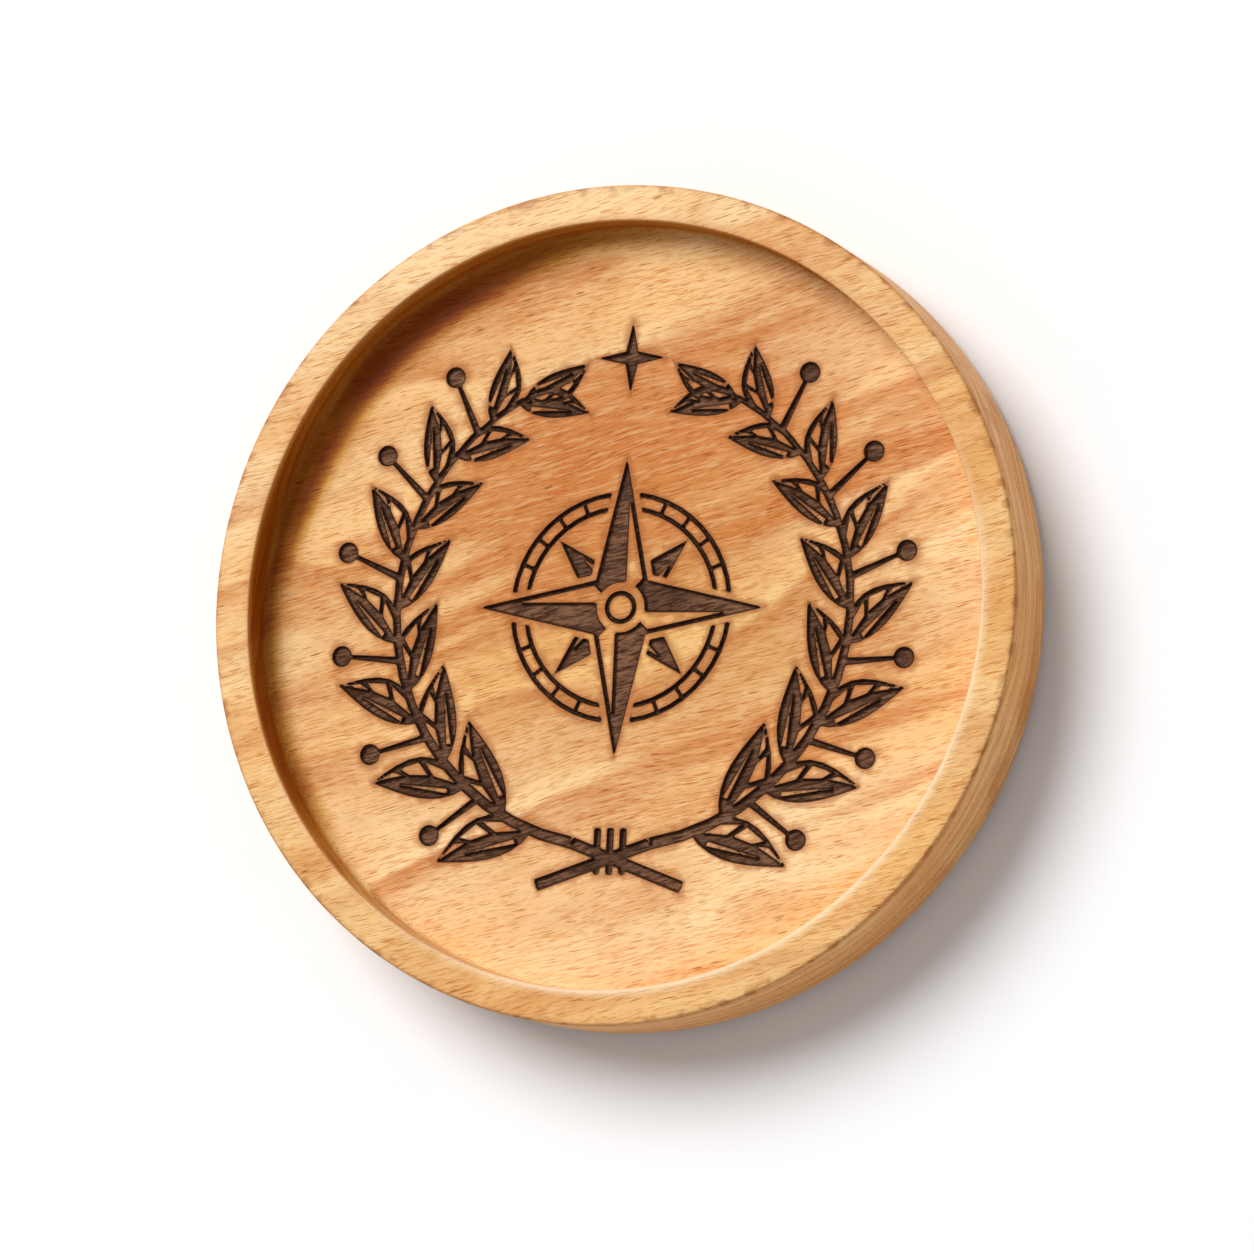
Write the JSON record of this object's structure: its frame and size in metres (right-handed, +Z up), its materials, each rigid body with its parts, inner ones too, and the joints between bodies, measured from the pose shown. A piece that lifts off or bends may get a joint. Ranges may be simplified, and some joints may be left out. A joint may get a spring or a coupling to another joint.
{
  "type": "drink coaster",
  "caption": "Round turned wooden coaster with a raised rim, a recess for a glass, a burned wreath and compass ornament and felt dots underneath.",
  "frame": {"origin": "centre of the footprint, at the height of the table that the felt dots stand on", "axes": "+Z up out of the recess, +Y towards the top of the ornament, +X to its right"},
  "size_m": [0.1, 0.1, 0.014],
  "materials": {
    "wood": "fine-sanded pale beech under a thin satin oil",
    "felt": "pressed brown wool felt, matte"
  },
  "bodies": {
    "root": {"turned_body": "wood", "felt_dot_1": "felt", "felt_dot_2": "felt", "felt_dot_3": "felt", "felt_dot_4": "felt"}
  },
  "joints": []
}
